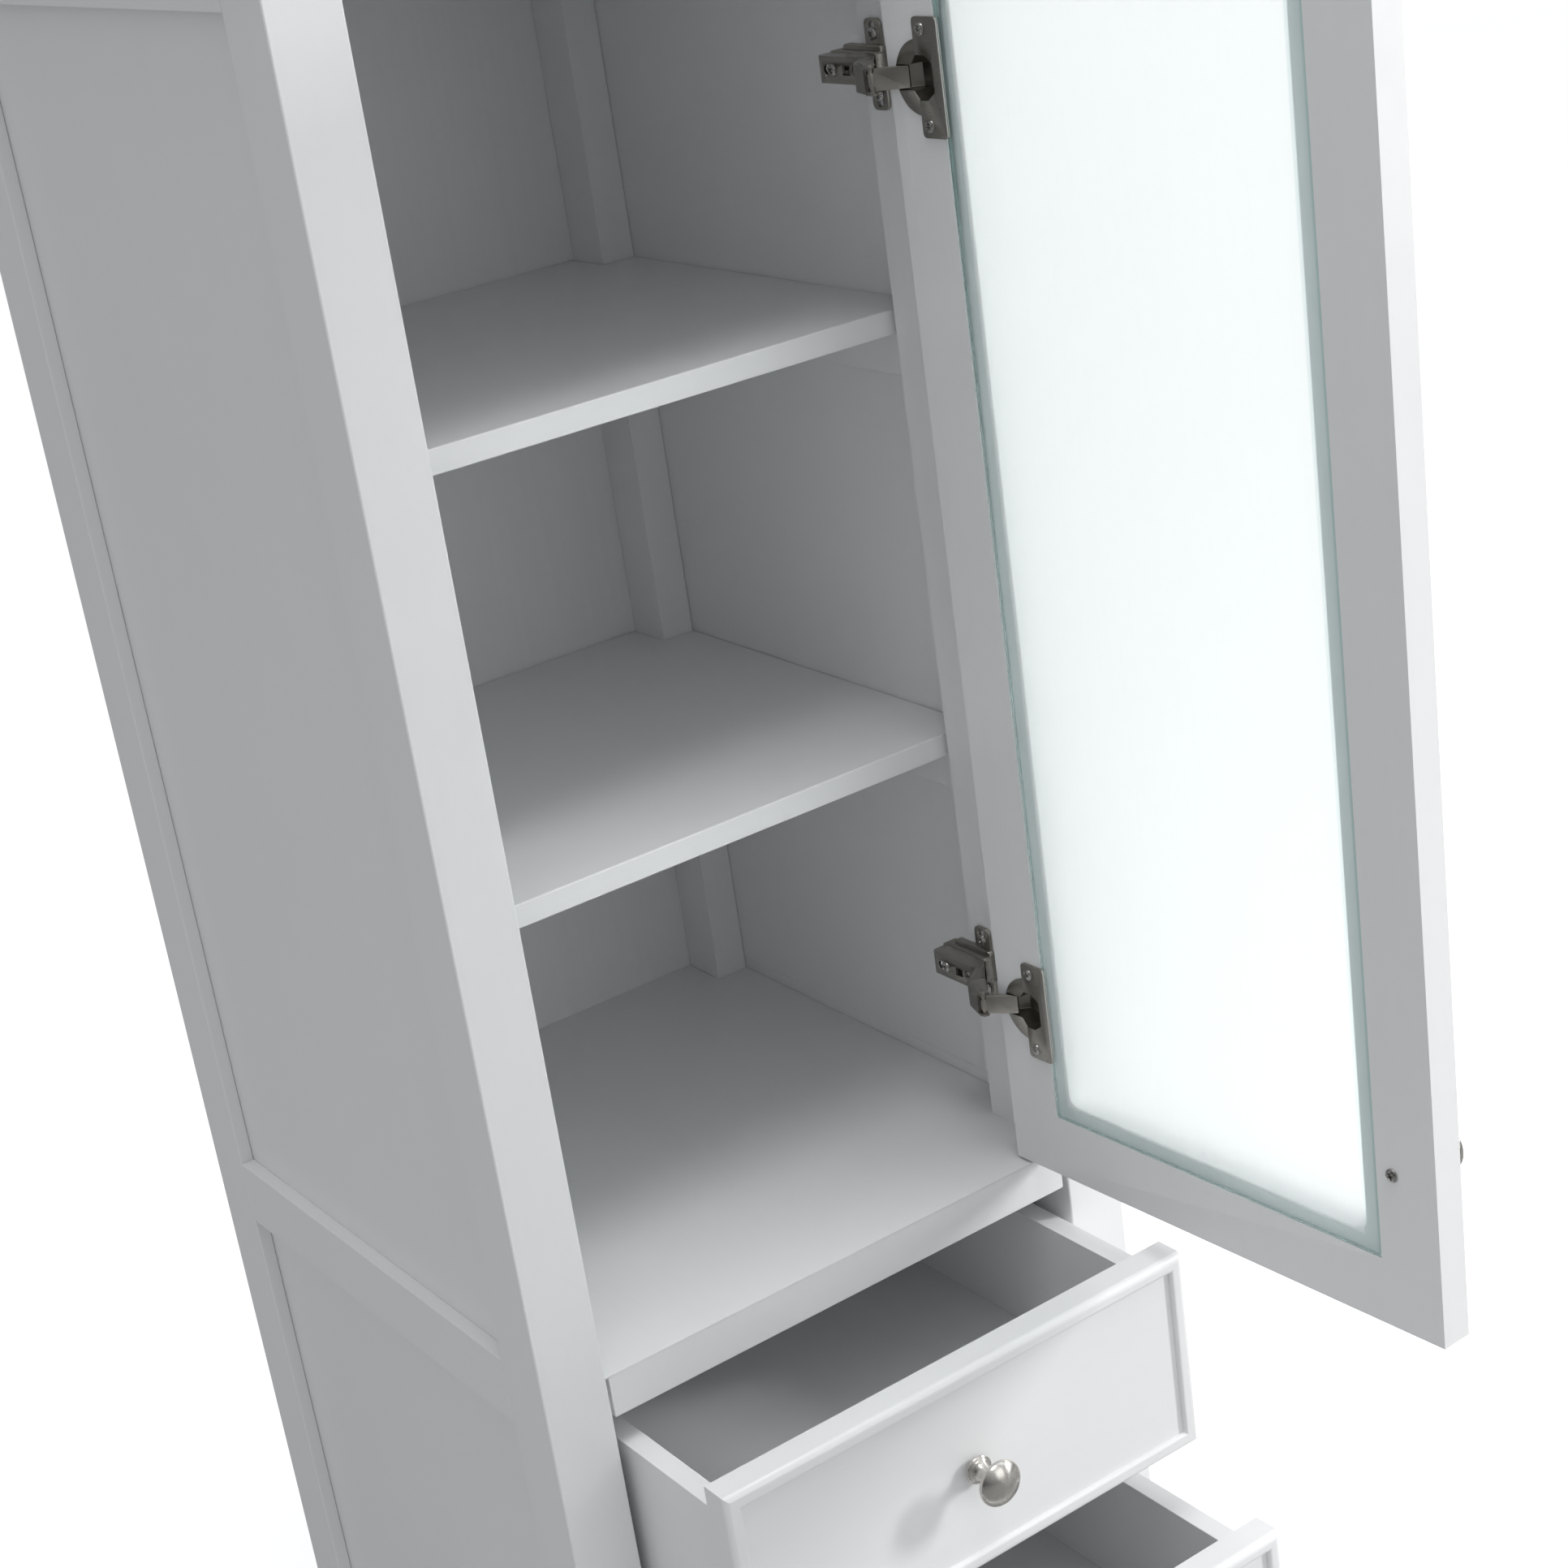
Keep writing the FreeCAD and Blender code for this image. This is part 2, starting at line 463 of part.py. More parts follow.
# --- drawers --------------------------------------------------------------------------------------
FACE_B = "(front_t-cab_d/2)"
BOX_X, BOX_IN = "(box_w/2)", "(box_w/2-box_side)"
front_y = -V["cab_d"] / 2
inner_x = door_half - V["bead_w"] + 0.01
for n in (1, 2):
    shift = "drawer_%d_open" % n
    top = "(deck_z-30-%d*pitch)" % (n - 1)
    low = "(%s-front_h)" % top
    box_low, box_top = "(%s+box_rise)" % low, "(%s-box_drop)" % top
    floor_z = "(%s+floor_rise)" % box_low
    mid_z = "(%s-front_h/2)" % top
    label = "drawer_%d_" % n

    blank = box("-" + DOOR_X, DOOR_X, DOOR_F, FACE_B, low, top)
    blank = rounded(blank, "bead_outer", lambda e: flat(e, "y", front_y))
    field = box("bead_w-%s" % DOOR_X, "%s-bead_w" % DOOR_X, DOOR_F + "-1",
                DOOR_F + "+bead_drop", low + "+bead_w", top + "-bead_w")
    field_cut = rounded(cut(blank, field), "bead_inner", lambda e: flat(e, "y", front_y)
                        and max(abs(e.BoundBox.XMin), abs(e.BoundBox.XMax)) < inner_x)
    floor_slot = box("-(%s+groove)" % BOX_IN, BOX_IN + "+groove", FACE_B + "-groove",
                     FACE_B + "+1", floor_z, floor_z + "+floor_t")
    shank_hole = rod("y", "0", DOOR_F + "-1", mid_z, "2.2", "front_t+2")
    node(label + "front", cut(field_cut, floor_slot, shank_hole), slide=shift)

    back_end = FACE_B + "+box_l"
    for side in ("left", "right"):
        plank = sided(side, BOX_IN, BOX_X, FACE_B, back_end, box_low, box_top)
        slot = sided(side, BOX_IN + "-1", BOX_IN + "+groove", FACE_B + "-1", back_end + "+1",
                     floor_z, floor_z + "+floor_t")
        node(label + "side_" + side, cut(plank, slot), slide=shift)
    back = box("-" + BOX_IN, BOX_IN, back_end + "-box_side", back_end, floor_z + "+floor_t",
               box_top)
    node(label + "back", back, slide=shift)
    floor = box("-(%s+groove)" % BOX_IN, BOX_IN + "+groove", FACE_B + "-groove", back_end,
                floor_z, floor_z + "+floor_t")
    node(label + "bottom", floor, slide=shift)
    node(label + "knob", knob("0", DOOR_F, mid_z), slide=shift)
    node(label + "knob_screw", machine_screw("0", FACE_B, mid_z, "front_t"), slide=shift)

    # drawer member: an inverted channel under the drawer bottom, one each side
    caps = []
    for side in ("left", "right"):
        caps.append(cut(
            sided(side, "cap_in", "cap_out", FACE_B, back_end, floor_z + "-cap_h", floor_z),
            sided(side, "cap_in+steel_t", "cap_out-steel_t", FACE_B + "-1", back_end + "+1",
                  floor_z + "-cap_h-1", floor_z + "-steel_t")))
    node(label + "slide_member", group(*caps), slide=shift)
    # middle member: rides in the cabinet channel at half the drawer's travel
    mids = []
    for side in ("left", "right"):
        x0, x1 = "rail_in+steel_t+mid_clear", "rail_out-steel_t-mid_clear"
        z0 = floor_z + "-tray_drop+mid_up"
        mids.append(cut(
            sided(side, x0, x1, "rail_y", "rail_y+rail_len-10", z0, z0 + "+mid_h"),
            sided(side, x0 + "+steel_t", x1 + "-steel_t", "rail_y-1", "rail_y+rail_len",
                  z0 + "-1", z0 + "+mid_h-steel_t")))
    node("slide_middle_%d" % n, group(*mids), slide=shift + "/2")

# --- cabinet channels of the slides, and the battens that carry them ----------------------------
channels = []
battens = []
for n in (1, 2):
    box_low = "(deck_z-30-%d*pitch-front_h+box_rise)" % (n - 1)
    floor_z = "(%s+floor_rise)" % box_low
    for side in ("left", "right"):
        z1 = "(%s-tray_drop)" % floor_z
        web = sided(side, "web_x-steel_t", "web_x", "rail_y", "rail_y+rail_len",
                    z1 + "-web_h", z1)
        tray = sided(side, "rail_in", "web_x", "rail_y", "rail_y+rail_len", z1 + "-steel_t",
                     z1)
        walls = [sided(side, a, b, "rail_y", "rail_y+rail_len", z1 + "-steel_t",
                       z1 + "+rail_wall")
                 for a, b in (("rail_in", "rail_in+steel_t"),
                              ("rail_out-steel_t", "rail_out"))]
        channels.append(join(web, tray, *walls))
        battens.append(sided(side, IN_X, WALL_X, FRONT_IN, REAR_IN,
                             box_low + "-batten_drop", box_low + "-batten_drop+batten_h"))
node("slide_channels", group(*channels))
node("runner_battens", group(*battens))

# --- checks and export ----------------------------------------------------------------------------
doc.recompute()
bad = [o.Name for o in doc.Objects if "Invalid" in o.State or "Error" in o.State]
if bad:
    raise SystemExit("objects that did not compute: %s" % ", ".join(bad))
os.makedirs("parts", exist_ok=True)
if len(nodes) > 60:
    raise SystemExit("too many sub-parts: %d" % len(nodes))
for name, obj in nodes.items():
    shape = obj.Shape
    if shape.isNull() or not shape.isValid() or not shape.Solids:
        raise SystemExit("%s has no valid solid" % name)
    shape.exportStep("parts/%s.step" % name)
    b = shape.BoundBox
    print("%-26s %2d solids %9.1f cm3  x %7.1f %7.1f  y %7.1f %7.1f  z %7.1f %7.1f" % (
        name, len(shape.Solids), shape.Volume / 1000, b.XMin, b.XMax, b.YMin, b.YMax,
        b.ZMin, b.ZMax))
print(len(nodes), "sub-parts")
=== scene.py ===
import json
import math

import bmesh
import bpy
from mathutils import Matrix, Quaternion, Vector
from mathutils.geometry import tessellate_polygon


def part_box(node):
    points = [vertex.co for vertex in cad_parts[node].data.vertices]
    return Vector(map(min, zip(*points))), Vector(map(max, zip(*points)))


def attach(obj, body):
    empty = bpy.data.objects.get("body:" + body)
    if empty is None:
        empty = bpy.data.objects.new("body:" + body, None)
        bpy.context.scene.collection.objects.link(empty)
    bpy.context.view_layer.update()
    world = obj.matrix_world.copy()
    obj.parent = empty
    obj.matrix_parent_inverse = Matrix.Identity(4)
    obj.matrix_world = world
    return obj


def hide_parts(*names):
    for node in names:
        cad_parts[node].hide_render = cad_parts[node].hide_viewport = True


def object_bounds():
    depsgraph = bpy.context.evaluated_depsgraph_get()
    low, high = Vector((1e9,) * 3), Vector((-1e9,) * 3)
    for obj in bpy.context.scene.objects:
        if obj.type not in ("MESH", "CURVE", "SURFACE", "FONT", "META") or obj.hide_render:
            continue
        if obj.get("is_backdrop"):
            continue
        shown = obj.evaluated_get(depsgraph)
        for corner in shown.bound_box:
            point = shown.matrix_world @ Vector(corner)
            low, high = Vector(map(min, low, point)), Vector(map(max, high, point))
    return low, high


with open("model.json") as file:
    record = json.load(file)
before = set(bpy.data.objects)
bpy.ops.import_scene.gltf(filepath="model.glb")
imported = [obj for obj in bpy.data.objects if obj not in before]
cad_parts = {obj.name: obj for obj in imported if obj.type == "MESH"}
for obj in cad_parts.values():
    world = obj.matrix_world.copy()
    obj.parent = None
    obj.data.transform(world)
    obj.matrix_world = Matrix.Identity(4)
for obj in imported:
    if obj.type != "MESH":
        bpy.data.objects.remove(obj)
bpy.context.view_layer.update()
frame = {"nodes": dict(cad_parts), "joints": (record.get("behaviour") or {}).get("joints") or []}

NODES = frame["nodes"]
JOINTS = {j["name"]: j for j in frame["joints"]}
MM = 0.001
X, Y = Vector((1, 0, 0)), Vector((0, 1, 0))
SIGNS = (-1, 1)


# ---- camera: above and left of the cabinet, in front of it, rolled a little ----------------------
CAMERA_AT, CAMERA_AIM = (-0.7706, -1.4096, 1.3066), (-0.0023, -0.2060, 0.7011)
CAMERA_ROLL, CAMERA_LENS, CAMERA_RISE = -8.506, 65.87, 0.05


def add_camera():
    data = bpy.data.cameras.new("camera")
    data.sensor_width = 36.0
    data.lens = CAMERA_LENS
    data.shift_y = CAMERA_RISE
    cam = bpy.data.objects.new("camera", data)
    bpy.context.collection.objects.link(cam)
    cam.location = CAMERA_AT
    aim = Vector(CAMERA_AIM) - cam.location
    cam.rotation_mode = "QUATERNION"
    roll = Quaternion((0, 0, 1), math.radians(CAMERA_ROLL))
    cam.rotation_quaternion = aim.to_track_quat("-Z", "Y") @ roll
    bpy.context.scene.camera = cam


add_camera()
bpy.context.scene.view_settings.view_transform = "Standard"


# ---- node trees ------------------------------------------------------------------------------
class Tree:
    """The node tree of a material or world, with the few calls that it takes to fill one."""

    def __init__(self, owner, coords="Object"):
        owner.use_nodes = True
        self.owner = owner
        self.tree = owner.node_tree
        self.bsdf = self.tree.nodes.get("Principled BSDF")
        self.coords = self.node("ShaderNodeTexCoord").outputs[coords]

    def node(self, kind, **props):
        n = self.tree.nodes.new(kind)
        for key, val in props.items():
            setattr(n, key, val)
        return n

    def link(self, a, b):
        self.tree.links.new(a, b)

    def put(self, socket, value):
        """Sets a socket to a number or a colour, or links it to another node's output."""
        if isinstance(value, (int, float)):
            socket.default_value = value
        elif isinstance(value, tuple):
            socket.default_value = (*value, 1)
        elif value is not None:
            self.link(value, socket)

    def feed(self, name, source):
        """Links a node's output to the surface's input of that name."""
        self.link(source, self.bsdf.inputs[name])

    def set(self, **values):
        """Sets constants of the surface."""
        for key, val in values.items():
            self.bsdf.inputs[key.replace("_", " ")].default_value = val

    def noise(self, scale, detail=3.0, rough=0.5, stretch=(1, 1, 1)):
        """Noise with about scale features per metre along an unstretched axis."""
        mapping = self.node("ShaderNodeMapping")
        mapping.inputs["Scale"].default_value = stretch
        self.link(self.coords, mapping.inputs["Vector"])
        n = self.node("ShaderNodeTexNoise")
        n.inputs["Scale"].default_value = scale
        n.inputs["Detail"].default_value = detail
        n.inputs["Roughness"].default_value = rough
        self.link(mapping.outputs["Vector"], n.inputs["Vector"])
        return n.outputs["Fac"]

    def ramp(self, fac, stops):
        """A colour from a factor, through (position, colour) stops."""
        r = self.node("ShaderNodeValToRGB")
        el = r.color_ramp.elements
        el[0].position, el[0].color = stops[0][0], (*stops[0][1], 1)
        el[1].position, el[1].color = stops[-1][0], (*stops[-1][1], 1)
        for pos, col in stops[1:-1]:
            el.new(pos).color = (*col, 1)
        self.link(fac, r.inputs["Fac"])
        return r.outputs["Color"]

    def span(self, fac, low, high, at=(0.3, 0.7)):
        """The value low where fac is at[0] or less, and high where it is at[1] or more."""
        m = self.node("ShaderNodeMapRange")
        m.inputs["From Min"].default_value, m.inputs["From Max"].default_value = at
        m.inputs["To Min"].default_value, m.inputs["To Max"].default_value = low, high
        self.link(fac, m.inputs["Value"])
        return m.outputs["Result"]

    def math(self, op, a, b=None):
        m = self.node("ShaderNodeMath", operation=op)
        for socket, v in zip(m.inputs, (a, b)):
            self.put(socket, v)
        return m.outputs[0]

    def between(self, fac, a, b):
        """The value a where fac is 0, and b where it is 1."""
        m = self.node("ShaderNodeMix", data_type="FLOAT")
        for socket, v in zip(m.inputs, (fac, None, a, b)):
            self.put(socket, v)
        return m.outputs[0]

    def mix(self, fac, a, b, blend="MIX"):
        """The colour a where fac is 0, and b, or a and b blended, where it is 1."""
        m = self.node("ShaderNodeMix", data_type="RGBA", blend_type=blend)
        for key, v in (("Factor", fac), ("A", a), ("B", b)):
            self.put([s for s in m.inputs if s.name == key and s.enabled][0], v)
        return [s for s in m.outputs if s.enabled][0]

    def bump(self, height, strength, distance, before=None):
        """Relief on the surface, on top of the relief made before."""
        b = self.node("ShaderNodeBump")
        b.inputs["Strength"].default_value = strength
        b.inputs["Distance"].default_value = distance
        self.link(height, b.inputs["Height"])
        if before is not None:
            self.link(before, b.inputs["Normal"])
        self.feed("Normal", b.outputs["Normal"])
        return b.outputs["Normal"]


def new_material(name):
    return Tree(bpy.data.materials.new(name))


# ---- lights, surroundings and floor ------------------------------------------------------------
DAYLIGHT = (1.0, 0.998, 0.99)


def area(name, at, to, size, power, colour=(1, 1, 1)):
    """A rectangular light at a place, turned to face another; metres and watts."""
    data = bpy.data.lights.new(name, "AREA")
    data.shape = "RECTANGLE"
    data.size, data.size_y = size
    data.energy = power
    data.color = colour
    lamp = bpy.data.objects.new(name, data)
    bpy.context.collection.objects.link(lamp)
    lamp.location = at
    lamp.rotation_mode = "QUATERNION"
    lamp.rotation_quaternion = (Vector(to) - Vector(at)).to_track_quat("-Z", "Y")


area("key", (2.20, -1.45, 1.25), (0.0, -0.25, 0.55), (0.26, 0.7), 45.0, DAYLIGHT)
area("fill", (0.75, -2.75, 1.20), (0.0, -0.15, 0.65), (1.2, 1.6), 7.0, DAYLIGHT)
area("top", (0.10, -0.66, 3.2), (0.0, -0.30, 0.6), (1.4, 1.2), 33.0)

# The room's brightness: as light on surfaces, as seen past the object or through its glass, and
# as mirrored in metal and lacquer, from the dark lower left to the bright upper right.
ROOM_LEVEL = 0.57
SEEN_LEVEL = 1.38
SHEEN_LEVELS, SHEEN_SPAN = (0.10, 0.75), (-0.6, 0.9)
ROOM_COLOUR = (0.97, 0.985, 1.0)
# The floor: its half size in metres, its colour in mirrors, and its glow when it is seen directly.
FLOOR_HALF, FLOOR_MIRRORED, FLOOR_GLOW = 40.0, (0.27, 0.27, 0.27), 0.68
FLOOR_COLOURS = [(0.3, (0.54, 0.545, 0.55)), (0.7, (0.56, 0.565, 0.57))]


def seen_directly(t):
    """1 for what the camera sees itself or through the glass, and 0 for light on surfaces."""
    path = t.node("ShaderNodeLightPath")
    return t.math("MAXIMUM", path.outputs["Is Camera Ray"], path.outputs["Is Transmission Ray"])


def surroundings():
    world = bpy.data.worlds.new("studio")
    bpy.context.scene.world = world
    t = Tree(world, "Generated")
    back = t.tree.nodes["Background"]
    back.inputs["Color"].default_value = (*ROOM_COLOUR, 1)
    axes = t.node("ShaderNodeSeparateXYZ")
    t.link(t.coords, axes.inputs[0])
    side = t.math("ADD", axes.outputs["X"], axes.outputs["Z"])
    mirrored = t.span(side, *SHEEN_LEVELS, SHEEN_SPAN)
    glossy = t.node("ShaderNodeLightPath").outputs["Is Glossy Ray"]
    lit = t.between(glossy, ROOM_LEVEL, mirrored)
    t.link(t.between(seen_directly(t), lit, SEEN_LEVEL), back.inputs["Strength"])


def floor():
    mesh = bpy.data.meshes.new("floor")
    r = FLOOR_HALF
    mesh.from_pydata([(-r, -r, 0), (r, -r, 0), (r, r, 0), (-r, r, 0)], [], [(0, 1, 2, 3)])
    obj = bpy.data.objects.new("floor", mesh)
    bpy.context.collection.objects.link(obj)
    t = new_material("pale_floor")
    pale = t.ramp(t.noise(1.5), FLOOR_COLOURS)
    path = t.node("ShaderNodeLightPath")
    mirrored = t.math("SUBTRACT", path.outputs["Is Glossy Ray"],
                      path.outputs["Is Transmission Ray"])
    t.feed("Base Color", t.mix(mirrored, pale, FLOOR_MIRRORED))
    t.set(Roughness=0.8, Emission_Color=(1, 1, 1, 1), Specular_IOR_Level=0.2)
    t.feed("Emission Strength", t.span(seen_directly(t), 0.0, FLOOR_GLOW, (0, 1)))
    mesh.materials.append(t.owner)
    obj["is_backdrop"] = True


surroundings()
floor()


# ---- finishes: three scales set which way grain or polishing marks run, small being lengthwise --
def paint(name, grain, tone=0.80, telling=0.003, ridge=0.012):
    """Satin white lacquer: faint clouding, fine orange peel, and grain that tells through."""
    t = new_material(name)
    cloud = t.noise(4.0, 3.0, 0.6)
    fibres = t.noise(190.0, 3.0, 0.55, grain)
    tint = t.ramp(cloud, [(0.30, (tone * 0.982, tone * 0.988, tone * 0.996)),
                          (0.70, (tone * 0.995, tone, tone * 1.004))])
    low = 1.0 - telling * 2
    shade = t.ramp(fibres, [(0.32, (low, low, low)), (0.62, (1.0, 1.0, 1.0))])
    t.feed("Base Color", t.mix(1.0, tint, shade, "MULTIPLY"))
    t.feed("Roughness", t.span(t.noise(26.0, 4.0), 0.30, 0.40))
    peel = t.bump(t.noise(420.0, 2.0), 0.03, 0.0004)
    t.bump(fibres, ridge, 0.0004, peel)
    t.set(Specular_IOR_Level=0.45)
    return t.owner


def metal(name, tone, rough, scratch, dark=0.8, stains=None, spun=0.0):
    """Plated metal: fine polishing marks, smudges, and perhaps stains or a turned sheen."""
    t = new_material(name)
    lines = t.noise(900.0, 3.0, 0.6, scratch)
    smudge = t.noise(45.0, 2.0, 0.4)
    colour = t.ramp(smudge, [(0.30, tuple(c * dark for c in tone)), (0.66, tone)])
    if stains:
        dots = t.ramp(t.noise(520.0, 2.0, 0.4), [(0.72, (0, 0, 0)), (0.75, (1, 1, 1))])
        colour = t.mix(dots, colour, stains)
    t.feed("Base Color", colour)
    t.feed("Roughness", t.span(lines, rough * 0.9, rough * 1.15))
    t.bump(lines, 0.03, 0.0001)
    t.set(Metallic=1.0, Anisotropic=spun, Anisotropic_Rotation=0.25)
    return t.owner


PAINT_UP = paint("white_lacquer_upright", (1.0, 1.0, 0.03))
PAINT_PANEL = paint("white_lacquer_panel", (1.0, 1.0, 0.03), telling=0.009, ridge=0.03)
PAINT_WIDE = paint("white_lacquer_crosswise", (0.03, 1.0, 1.0))
PAINT_DEEP = paint("white_lacquer_lengthwise", (1.0, 0.03, 1.0))
KNOB_METAL = metal("satin_nickel", (0.66, 0.635, 0.60), 0.25, (1.0, 1.0, 0.2), 0.94,
                   spun=0.75)
HINGE_METAL = metal("hinge_nickel", (0.385, 0.365, 0.335), 0.30, (0.15, 1.0, 1.0), 0.95)
LINK_METAL = metal("link_nickel", (0.42, 0.395, 0.36), 0.34, (0.15, 1.0, 1.0), 0.95,
                   (0.16, 0.065, 0.035))
# The flange's rolled edge is the same nickel, coloured brighter: a painted highlight.
FLANGE_HIGHLIGHT_METAL = metal("rim_nickel_painted_highlight", (0.86, 0.84, 0.80), 0.30, (1.0, 0.15, 1.0), 0.97)
SCREW_METAL = metal("screw_nickel", (0.52, 0.51, 0.49), 0.26, (1.0, 1.0, 1.0))
ZINC = metal("zinc_plate", (0.62, 0.64, 0.66), 0.36, (1.0, 0.08, 1.0))


# ---- mesh tools: 2-D outlines in millimetres, and the closed shapes made from them ---------------
def loop(corners, steps=6):
    """A closed outline through (x, y, radius) corners, each turned to its radius."""
    points = []
    for i, (x, y, r) in enumerate(corners):
        p = Vector((x, y))
        a = Vector(corners[i - 1][:2]) - p
        b = Vector(corners[(i + 1) % len(corners)][:2]) - p
        if r == 0:
            points.append(p)
            continue
        half = a.angle(b) / 2
        a.normalize()
        b.normalize()
        centre = p + (a + b).normalized() * (r / math.sin(half))
        first = p + a * (r / math.tan(half)) - centre
        last = p + b * (r / math.tan(half)) - centre
        turn = math.atan2(first.cross(last), first.dot(last))
        for k in range(steps + 1):
            points.append(centre + Matrix.Rotation(turn * k / steps, 2) @ first)
    return points


def rectangle(x0, x1, y0, y1, r=0.0, steps=6):
    """A rectangle's outline, with its corners turned to a radius."""
    return loop([(x0, y0, r), (x1, y0, r), (x1, y1, r), (x0, y1, r)], steps)


def ring(x, y, r, count=40, start=0.0, stop=360.0):
    """Points round a circle; a full turn isn't repeated at its end."""
    full = stop - start == 360.0
    return [Vector((x + r * math.cos(a), y + r * math.sin(a)))
            for a in (math.radians(start + (stop - start) * k / (count if full else count - 1))
                      for k in range(count))]


def slot_hole(x, y, r, half):
    """A hole with round ends, half its straight length above and below its middle."""
    return ([Vector((x, y + half)) + p for p in ring(0, 0, r, 13, 0, 180)]
            + [Vector((x, y - half)) + p for p in ring(0, 0, r, 13, 180, 360)])


def cover(bm, loops):
    """Closes the area between loops of bmesh vertices: the first round the outside."""
    flat = [v for rim in loops for v in rim]
    for tri in tessellate_polygon([[v.co.copy() for v in rim] for rim in loops]):
        bm.faces.new([flat[i] for i in tri])


def walls(bm, a, b):
    """Faces between two loops with the same number of vertices."""
    for i in range(len(a)):
        j = (i + 1) % len(a)
        bm.faces.new((a[i], a[j], b[j], b[i]))


def raised(bm, points, height):
    """An outline's points as vertices at one height."""
    return [bm.verts.new((p[0], p[1], height)) for p in points]


def slab(bm, outline, low, high, holes=()):
    """A flat plate between two heights, with holes through it."""
    rims = [(raised(bm, points, low), raised(bm, points, high))
            for points in (outline, *holes)]
    for a, b in rims:
        walls(bm, a, b)
    cover(bm, [a for a, _ in rims])
    cover(bm, [b for _, b in rims])


def lathe(bm, profile, at=(0, 0), count=48):
    """Turns (radius, height) points round the height axis; a radius of 0 is one point."""
    last = None
    for r, h in profile:
        if r == 0:
            verts = [bm.verts.new((*at, h))]
        else:
            verts = [bm.verts.new((p[0], p[1], h)) for p in ring(*at, r, count)]
        if last and len(last) == len(verts) == count:
            walls(bm, last, verts)
        elif last:
            tip, rim = (last[0], verts) if len(last) == 1 else (verts[0], last)
            for i in range(count):
                bm.faces.new((tip, rim[i], rim[(i + 1) % count]))
        last = verts
    return last


def screw(bm, at, head, rise, shank, length, turn=0.0):
    """A cross-recess screw whose head sits on height 0: a domed head and a pointed shank."""
    rim = lathe(bm, [(0, -length), (shank, -length + 2 * shank), (shank, -0.6 * shank),
                     (head * 0.97, 0.0), (head, rise * 0.25), (head * 0.97, rise * 0.5),
                     (head * 0.85, rise * 0.78), (head * 0.66, rise)], at, 32)
    arm, waist, depth = head * 0.56, head * 0.15, rise * 0.8
    cross = []
    for k in range(4):
        for x, y in ((arm, -waist), (arm, waist), (waist * 1.25, waist * 1.25)):
            p = Matrix.Rotation(math.radians(turn) + k * math.pi / 2, 2) @ Vector((x, y))
            cross.append(p)
    lip = [bm.verts.new((at[0] + p.x, at[1] + p.y, rise * 1.04)) for p in cross]
    foot = [bm.verts.new((at[0] + p.x * 0.72, at[1] + p.y * 0.72, rise - depth)) for p in cross]
    cover(bm, [rim, lip])
    walls(bm, lip, foot)
    cover(bm, [foot])


def facing(origin, x, z):
    """The placing whose own x and z axes point along x and z; origin in metres."""
    z = z.normalized()
    x = (x - z * x.dot(z)).normalized()
    m = Matrix((x, z.cross(x), z)).transposed().to_4x4()
    m.translation = Vector(origin)
    return m


def posed(matrix, fill):
    """The same shape, moved and turned."""
    def build(bm):
        old = set(bm.verts)
        fill(bm)
        bmesh.ops.transform(bm, matrix=matrix, verts=[v for v in bm.verts if v not in old])
    return build


def shifted(x, y, z, fill):
    """The same shape, moved without turning."""
    return posed(Matrix.Translation((x, y, z)), fill)


def mesh_of(name, fill):
    """A clean mesh in metres from one shape drawn in millimetres."""
    bm = bmesh.new()
    fill(bm)
    bmesh.ops.remove_doubles(bm, verts=bm.verts, dist=1e-4)
    bmesh.ops.dissolve_limit(bm, angle_limit=math.radians(0.3), verts=bm.verts, edges=bm.edges)
    bmesh.ops.recalc_face_normals(bm, faces=bm.faces)
    bmesh.ops.scale(bm, vec=(MM, MM, MM), verts=bm.verts)
    mesh = bpy.data.meshes.new(name)
    bm.to_mesh(mesh)
    bm.free()
    return mesh


def settle(obj):
    """Turns an object's modifiers into its mesh."""
    bpy.context.view_layer.update()
    evaluated = obj.evaluated_get(bpy.context.evaluated_depsgraph_get())
    mesh = bpy.data.meshes.new_from_object(evaluated)
    obj.modifiers.clear()
    obj.data = mesh


def combine(obj, fill, operation):
    """Joins one shape to a part, or cuts it away."""
    tool = bpy.data.objects.new("tool", mesh_of("tool", fill))
    bpy.context.collection.objects.link(tool)
    mod = obj.modifiers.new("solid", "BOOLEAN")
    mod.operation, mod.solver, mod.object = operation, "EXACT", tool
    settle(obj)
    bpy.data.objects.remove(tool)


def soften(obj, width, steps=2):
    """Rounds the edges of a part."""
    mod = obj.modifiers.new("edge", "BEVEL")
    mod.width = width * MM
    mod.segments = steps
    mod.limit_method = "ANGLE"
    mod.angle_limit = math.radians(32.0)
    mod.harden_normals = True


def piece(name, shapes, place, body, material, nodes, cuts=(), edge=0.0, smooth=35.0):
    """Makes one visible part from closed shapes in its own axes, and sets it on its body."""
    obj = bpy.data.objects.new(name, mesh_of(name, shapes[0]))
    bpy.context.collection.objects.link(obj)
    for fill in shapes[1:]:
        combine(obj, fill, "UNION")
    for fill in cuts:
        combine(obj, fill, "DIFFERENCE")
    if edge:
        soften(obj, edge)
        settle(obj)
    obj.data.materials.clear()
    obj.data.materials.append(material)
    obj.data.shade_smooth()
    obj.data.set_sharp_from_angle(angle=math.radians(smooth))
    obj.matrix_world = place
    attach(obj, body)
    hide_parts(*nodes)
    return obj


def several(*fills):
    """Separate closed shapes as one drawing."""
    def build(bm):
        for fill in fills:
            fill(bm)
    return build


# ---- the door's own axes: away from its hinged edge, up, and out of its inner face --------------
SWING = JOINTS["door_swing"]
PIVOT = Vector(SWING["pos_m"])
OPEN = (Matrix.Translation(PIVOT)
        @ Matrix.Rotation(-math.radians(SWING["range_deg"][0]), 4, "Z")
        @ Matrix.Translation(-PIVOT))
DOOR_EDGE_X, DOOR_BACK_Y, DOOR_FRONT_Y, DOOR_W = 163.0, -187.0, -206.0, 326.0


